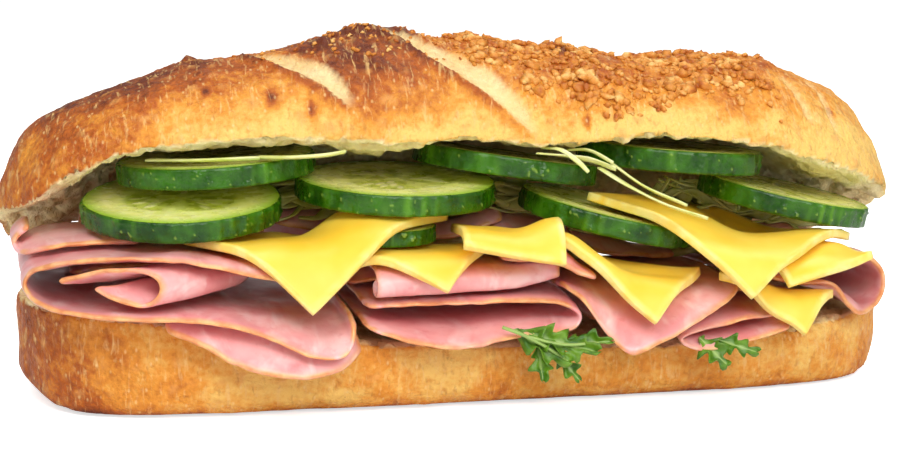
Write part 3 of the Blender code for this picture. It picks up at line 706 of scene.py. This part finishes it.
def flake_share(x, y):
    """How thickly the crown is covered with flakes at a place seen from above, from 0 to 1."""
    t, away = along(np.array([[x, y, 0.0]]), *SCORES[1][:2])
    right_of_cut = 1.0 if away[0] < -3.6 or (t[0] < -0.05 and x > -8.0) else 0.0
    front = -20.0 + 3.0 * math.sin(x / 7.0) + (8.0 if x < 10.0 else 0.0)
    inside = smoothstep(front - 1.5, front + 3.0, y) * smoothstep(14.0, 4.0, y) * smoothstep(74.0, 62.0, x)
    patchy = 0.55 + 0.9 * noise.noise((x / 8.0, y / 8.0, 3.0))
    return right_of_cut * float(inside) * min(1.0, max(0.0, patchy))


def flake_places():
    """Places, sizes and thicknesses of the flakes: a crowded patch right of the cuts, and loose crumbs."""
    places = []
    while len(places) < FLAKES_RIGHT:
        x, y = rng.uniform(-4, 76), rng.uniform(-26, 14)
        if rng.uniform() < flake_share(x, y):
            size = rng.uniform(0.45, 1.0) + 0.9 * rng.uniform() ** 4
            places.append((x, y, size, size * rng.uniform(0.4, 0.7)))
    for _ in range(FLAKES_LEFT):
        x, y = rng.normal(-22, 11), rng.uniform(-10, 10)
        size = rng.uniform(0.3, 0.75)
        places.append((x, y, size, size * 0.55))
    return places


# ---------------------------------------------------------------- onion, cabbage and herbs

# Strips that hang out of the sandwich: route (mm), width, thickness and twist (radians).
LOOSE_SHREDS = [
    ([(-50, -20, 56.4), (-44, -26, 56.9), (-37, -28, 57.4), (-32, -26, 57.8)], 3.2, 0.9, 0.4),
    ([(-74, -14, 55.6), (-62, -20, 56.0), (-50, -22, 56.4)], 2.8, 0.8, 0.5),
    ([(12, -23, 56.0), (18, -26, 55.6), (24, -25, 54.4), (29, -28, 52.6)], 2.4, 0.5, 1.0),
    ([(14, -20, 56.8), (17, -25, 56.9), (20, -29, 54.6), (22, -30.5, 52.4)], 1.3, 0.6, -1.2),
    ([(20, -20, 56.2), (24, -24, 56.4), (28, -29, 54.2)], 1.3, 0.6, 1.4),
    ([(26, -25, 52.6), (31, -32, 49.2), (38, -38, 45.6), (46, -42, 43.0)], 2.8, 0.6, 0.5),
    ([(29, -24, 53.5), (35, -31, 48.8), (43, -36.5, 45.2)], 1.3, 0.6, 1.0),
]
# Thick strips in the dips behind the cucumber: x, z and half length.
THICK_SHREDS = ((-2.5, 31.4, 9.0), (57.0, 27.0, 9.0), (29.0, 26.8, 6.0), (66.0, 22.2, 6.0))
SHRED_LAYERS = 6
SHREDS_A_LAYER = 46
# Leaves: root, tip, width, the way the face looks, lobes, curl and seed.
LEAVES = [
    ((3, -39, 19.5), (14, -42, 12.2), 8.0, (0.1, -1, 0.5), 3, 0.10, 1),
    ((6, -39.5, 18.5), (20, -42.5, 14.2), 8.0, (-0.1, -1, 0.6), 4, 0.08, 2),
    ((8, -40, 17.0), (8.5, -42, 8.6), 6.0, (0.2, -1, 0.2), 3, 0.08, 3),
    ((12, -40, 15.5), (24, -41.5, 16.2), 6.0, (0.0, -1, 0.6), 3, 0.06, 4),
    ((12, -40, 14.5), (17, -41.5, 8.2), 5.0, (0.0, -1, 0.2), 3, 0.06, 5),
    ((46, -37, 15.5), (51, -41, 9.6), 8.0, (0.1, -1, 0.4), 3, 0.08, 6),
    ((50, -38.5, 15.0), (58, -41, 12.2), 5.5, (0.0, -1, 0.5), 3, 0.06, 7),
]
# Stalks: route, width and thickness.
STALKS = [
    ([(0, -41, 20.5), (5, -42, 18.5), (11, -42.5, 15.0), (15, -42.8, 12.0)], 0.9, 0.8),
    ([(5, -42, 18.5), (13, -43, 16.5), (21, -43, 16.5)], 0.8, 0.7),
]


def shred_material():
    n = Nodes("Shreds", 0.25, 0.5)
    colour = n.mix(n.ramp(n.noise(200.0, 3.0), 0.35, 0.65), (206, 214, 116), (232, 234, 168))
    return n.finish(colour, flesh=(0.2, 0.002, (1.0, 1.0, 0.6)), coat=0.3)


def herb_material():
    n = Nodes("Herbs", 0.4, 0.45)
    colour = n.mix(n.ramp(n.noise(260.0, 3.0), 0.35, 0.65), (58, 104, 12), (112, 154, 36))
    colour = n.mix(n.attribute("vein"), colour, (170, 196, 110))
    faint = n.bump(n.noise(500.0, 3.0), 0.0005, 0.5)
    return n.finish(colour, faint, flesh=(0.15, 0.001, (0.6, 1.0, 0.3)))


def ribbon(path, width, thick, twist=0.0):
    """Points and faces of a thin strip along a smooth path; width tapers at both ends."""
    sides = 8
    path = np.array(path, float)
    count = 8 * (len(path) - 1) + 1
    t = np.linspace(0, len(path) - 1, count)
    padded = np.vstack([2 * path[0] - path[1], path, 2 * path[-1] - path[-2]])
    fine = []
    for s in t:
        i = min(int(s), len(path) - 2)
        u = s - i
        a, b, c, d = padded[i:i + 4]
        square = 2 * a - 5 * b + 4 * c - d
        cube = 3 * b - a - 3 * c + d
        fine.append(0.5 * (2 * b + (c - a) * u + square * u * u + cube * u ** 3))
    fine = np.array(fine)
    points, faces = [], []
    for k, p in enumerate(fine):
        ahead = fine[min(k + 1, count - 1)] - fine[max(k - 1, 0)]
        ahead /= np.linalg.norm(ahead)
        flat = np.cross(ahead, UP)
        flat /= max(np.linalg.norm(flat), 1e-6)
        over = np.cross(flat, ahead)
        angle = twist * k / count
        wide = flat * math.cos(angle) + over * math.sin(angle)
        deep = np.cross(ahead, wide)
        share = 0.25 + 0.75 * math.sin(math.pi * (0.08 + 0.84 * k / (count - 1))) ** 0.5
        for j in range(sides):
            turn = 2.0 * math.pi * j / sides
            across = wide * math.cos(turn) * width * 0.5 * share
            through = deep * math.sin(turn) * thick * 0.5
            points.append(p + across + through)
    for k in range(count - 1):
        here = k * sides
        there = here + sides
        for j in range(sides):
            m = (j + 1) % sides
            faces.append((here + j, here + m, there + m, there + j))
    faces.append(tuple(range(sides))[::-1])
    faces.append(tuple((count - 1) * sides + j for j in range(sides)))
    return points, faces


def joined(name, parts, mat, veins=None):
    """One piece made of many small closed shapes."""
    points, faces = [], []
    for more, shape in parts:
        start = len(points)
        points += [tuple(p) for p in more]
        faces += [tuple(i + start for i in f) for f in shape]
    mesh = bpy.data.meshes.new(name)
    mesh.from_pydata([tuple(np.array(p) * MM) for p in points], [], faces)
    bm = bmesh.new()
    bm.from_mesh(mesh)
    bmesh.ops.recalc_face_normals(bm, faces=bm.faces)
    bm.to_mesh(mesh)
    bm.free()
    if veins is not None:
        paint(mesh, "vein", veins)
    return new_object(name, mesh, mat)


def leaf(root, tip, width, normal, lobes, curl, seed):
    """A small frilly leaf from root to tip: rows of points whose edge is cut into lobes."""
    root = np.array(root, float)
    normal = np.array(normal, float)
    way = np.array(tip, float) - root
    length = np.linalg.norm(way)
    way /= length
    normal -= way * (normal @ way)
    normal /= np.linalg.norm(normal)
    side = np.cross(normal, way)
    rows = 22
    columns = 9
    half_thick = 0.16
    top, under, veins = [], [], []
    for i in range(rows):
        t = i / (rows - 1)
        cut = 0.5 + 0.5 * math.cos(2.0 * math.pi * lobes * t + 0.6)
        half = width * 0.5 * (math.sin(math.pi * min(1.0, 0.04 + 0.96 * t)) ** 0.6) * (0.35 + 0.65 * cut)
        half = max(half, 0.35)
        for j in range(columns):
            s = 2.0 * j / (columns - 1) - 1.0
            frill = 0.22 * width * abs(s) ** 2 * math.sin(9.0 * t + 4.0 * s + seed)
            lift = curl * length * t * t + frill + 0.10 * width * abs(s)
            p = root + way * length * (t + 0.10 * abs(s) * cut) + side * half * s + normal * lift
            top.append(p + normal * half_thick)
            under.append(p - normal * half_thick)
            veins.append(0.8 * max(0.0, 1.0 - abs(s) * 5.0))
    faces = []
    n = rows * columns
    for i in range(rows - 1):
        for j in range(columns - 1):
            a = i * columns + j
            faces.append((a, a + 1, a + columns + 1, a + columns))
            faces.append((n + a + columns, n + a + columns + 1, n + a + 1, n + a))
    edge = list(range(columns)) + [i * columns + columns - 1 for i in range(1, rows)]
    edge += [(rows - 1) * columns + j for j in range(columns - 2, -1, -1)]
    edge += [i * columns for i in range(rows - 2, 0, -1)]
    for k, a in enumerate(edge):
        b = edge[(k + 1) % len(edge)]
        faces.append((a, n + a, n + b, b))
    return top + under, faces, veins + veins


def lying_shred(pile, lift):
    """A strip that follows the top of the pile of ham and cheese, lift above it."""
    x = rng.uniform(-46, 88)
    y = rng.uniform(3, 19)
    turn = rng.uniform(-0.5, 0.5)
    path = []
    for k in range(5):
        u = x + (k - 2) * 5.0 * math.cos(turn)
        v = y + (k - 2) * 5.0 * math.sin(turn) + 1.2 * math.sin(2.1 * k + x)
        hit = pile.ray_cast(Vector((u * MM, v * MM, 0.1)), Vector((0, 0, -1)))[0]
        path.append((u, v, (hit.z / MM if hit else 24.0) + lift))
    mean = np.array([p[2] for p in path]).mean()
    path = [(u, v, max(high, mean)) for u, v, high in path]
    return ribbon(path, rng.uniform(1.8, 4.2), 0.7, rng.uniform(-1.5, 1.5))


def make_shreds(mat):
    """The loose strips that show, thick strips in the dips, and layers of strips on the pile."""
    parts = [ribbon(*shred) for shred in LOOSE_SHREDS]
    for x, z, half in THICK_SHREDS:
        for y, drop in ((9.0, 0.0), (13.0, -0.8)):
            path = []
            for t in (-1, -0.3, 0.4, 1):
                bend = 0.8 * math.sin(3.0 * t + x)
                path.append((x + half * t, y + bend, z + drop + 0.4 * math.sin(4.0 * t)))
            parts.append(ribbon(path, 3.4, 2.4))
    bm = bmesh.new()
    for name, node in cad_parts.items():
        if name.startswith(("ham", "cheese")):
            bm.from_mesh(node.data)
    pile = BVHTree.FromBMesh(bm)
    bm.free()
    for layer in range(SHRED_LAYERS):
        for _ in range(SHREDS_A_LAYER):
            parts.append(lying_shred(pile, 0.5 + 1.1 * layer))
    return joined("shreds", parts, mat)


def make_herbs(mat):
    leaves = [leaf(*shape) for shape in LEAVES]
    stalks = [ribbon(*stalk) for stalk in STALKS]
    parts = [(points, faces) for points, faces, _ in leaves] + stalks
    veins = [v for _, _, more in leaves for v in more] + [0.7] * sum(len(p) for p, _ in stalks)
    return joined("herbs", parts, mat, veins)


# ---------------------------------------------------------------- stage

# Lamps: name, place, the point it faces, size (m) and power (W).
LAMPS = [
    ("key", (-0.35, -0.55, 0.75), (0.0, 0.0, 0.04), (0.5, 0.4), 4.0),
    ("front", (0.15, -0.85, 0.55), (0.0, 0.0, 0.03), (0.6, 0.4), 4.8),
    ("top", (0.25, 0.15, 0.80), (0.0, 0.0, 0.04), (0.5, 0.5), 2.2),
]
WHITE = (1.0, 1.0, 1.0, 1.0)
FLOOR_COLOUR = (0.94, 0.94, 0.94, 1.0)
FLOOR_GLOW = 0.66
FLOOR_HALF_WIDTH = 3.0
FLOOR_DROP = 0.0002
SKY_STRENGTH = 0.42
# The camera: the point it looks at (m), its direction from there, distance (m) and lens (mm).
TARGET = (-0.0016, 0.0061, 0.0357)
AZIMUTH = math.radians(-12.0)
ELEVATION = math.radians(9.0)
DISTANCE = 0.520
LENS = 88.0
SENSOR_WIDTH = 36.0


def area_light(name, place, aim, size, power):
    data = bpy.data.lights.new(name, "AREA")
    data.shape = "RECTANGLE"
    data.size, data.size_y = size
    data.energy = power
    obj = bpy.data.objects.new(name, data)
    obj.location = place
    obj.rotation_mode = "QUATERNION"
    obj.rotation_quaternion = (Vector(aim) - Vector(place)).to_track_quat("-Z", "Y")
    bpy.context.scene.collection.objects.link(obj)


def make_floor():
    """A pale floor that the camera sees as nearly white, with the object's shadow on it."""
    n = Nodes("Floor", 0.9, 0.1)
    n.shader.inputs["Base Color"].default_value = FLOOR_COLOUR
    n.shader.inputs["Emission Color"].default_value = WHITE
    seen = n.new("ShaderNodeLightPath").outputs["Is Camera Ray"]
    n.link(n.math("MULTIPLY", seen, FLOOR_GLOW), n.shader.inputs["Emission Strength"])
    bm = bmesh.new()
    bmesh.ops.create_grid(bm, x_segments=1, y_segments=1, size=FLOOR_HALF_WIDTH)
    mesh = bpy.data.meshes.new("floor")
    bm.to_mesh(mesh)
    bm.free()
    mesh.materials.append(n.mat)
    floor = bpy.data.objects.new("floor", mesh)
    bpy.context.scene.collection.objects.link(floor)
    floor.location.z = -FLOOR_DROP


def make_world():
    """A plain sky that lights softly and that the camera sees as white."""
    world = bpy.data.worlds.new("World")
    bpy.context.scene.world = world
    world.use_nodes = True
    tree = world.node_tree
    sky = tree.nodes["Background"]
    sky.inputs["Color"].default_value = WHITE
    sky.inputs["Strength"].default_value = SKY_STRENGTH
    plain = tree.nodes.new("ShaderNodeBackground")
    plain.inputs["Color"].default_value = WHITE
    plain.inputs["Strength"].default_value = 1.0
    path = tree.nodes.new("ShaderNodeLightPath")
    both = tree.nodes.new("ShaderNodeMixShader")
    tree.links.new(path.outputs["Is Camera Ray"], both.inputs[0])
    tree.links.new(sky.outputs[0], both.inputs[1])
    tree.links.new(plain.outputs[0], both.inputs[2])
    tree.links.new(both.outputs[0], tree.nodes["World Output"].inputs["Surface"])


def make_camera():
    data = bpy.data.cameras.new("camera")
    data.lens = LENS
    data.sensor_width = SENSOR_WIDTH
    data.clip_start = 0.01
    data.clip_end = 20.0
    cam = bpy.data.objects.new("camera", data)
    bpy.context.scene.collection.objects.link(cam)
    level = math.cos(ELEVATION)
    back = Vector((math.sin(AZIMUTH) * level, -math.cos(AZIMUTH) * level, math.sin(ELEVATION)))
    cam.location = Vector(TARGET) + back * DISTANCE
    cam.rotation_mode = "QUATERNION"
    cam.rotation_quaternion = (-back).to_track_quat("-Z", "Y")
    bpy.context.scene.camera = cam


def main():
    bread = crust_material()
    ham = ham_material()
    cheese = cheese_material()
    green = cucumber_material()
    crown = make_crown(bread)
    make_heel(bread)
    for name in sorted(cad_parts):
        if name.startswith("ham"):
            make_ham(name, ham)
        elif name.startswith("cheese"):
            make_cheese(name, cheese)
    for name, turn in CUCUMBER_TURNS.items():
        make_cucumber(name, green, turn)
    scatter(crown, flake_places(), "flakes", flake_material())
    make_shreds(shred_material())
    make_herbs(herb_material())
    make_floor()
    make_world()
    for lamp in LAMPS:
        area_light(*lamp)
    make_camera()
    bpy.context.scene.view_settings.view_transform = "Standard"


main()
